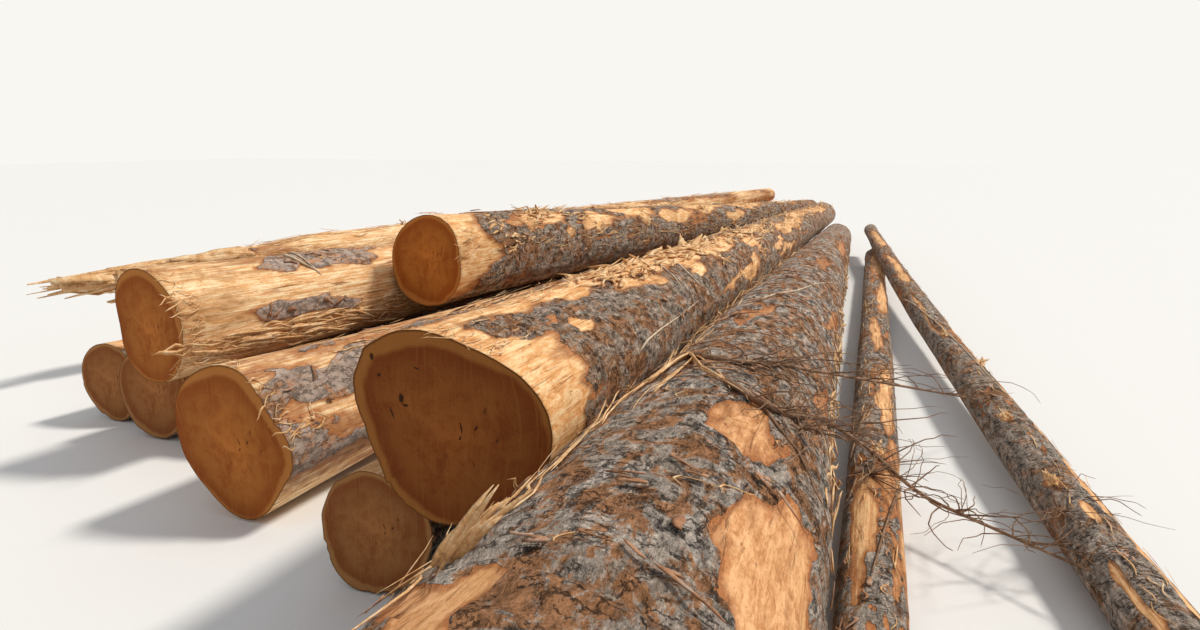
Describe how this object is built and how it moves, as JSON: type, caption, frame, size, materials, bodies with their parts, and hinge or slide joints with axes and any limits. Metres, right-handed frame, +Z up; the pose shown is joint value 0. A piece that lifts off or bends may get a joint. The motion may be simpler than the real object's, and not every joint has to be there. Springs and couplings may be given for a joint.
{
  "type": "log stack",
  "caption": "Deck of long sawn logs lying side by side and across each other's grooves, with swollen butts, peeled wood, plated bark and two thin poles beside them.",
  "frame": {"origin": "centre of the bounding box's footprint, on the ground", "axes": "+Y along the logs, away from the sawn ends that face the viewer; +X to the viewer's right; +Z up"},
  "size_m": [6.6296, 14.9, 1.2443],
  "materials": {
    "peeled_wood": "dry peeled wood with torn fibres",
    "plated_bark": "rough plated bark",
    "pole_bark": "thin bark, partly rubbed off"
  },
  "bodies": {
    "root": {"big_butt_log": "peeled_wood", "barked_log": "plated_bark", "front_log": "peeled_wood", "low_log": "plated_bark", "inner_small_log": "plated_bark", "middle_small_log": "plated_bark", "outer_small_log": "plated_bark", "edge_log": "plated_bark", "rim_log": "plated_bark", "peeled_log": "peeled_wood", "top_log": "plated_bark", "broken_log": "peeled_wood", "side_pole": "pole_bark", "leaning_pole": "pole_bark"}
  },
  "joints": []
}
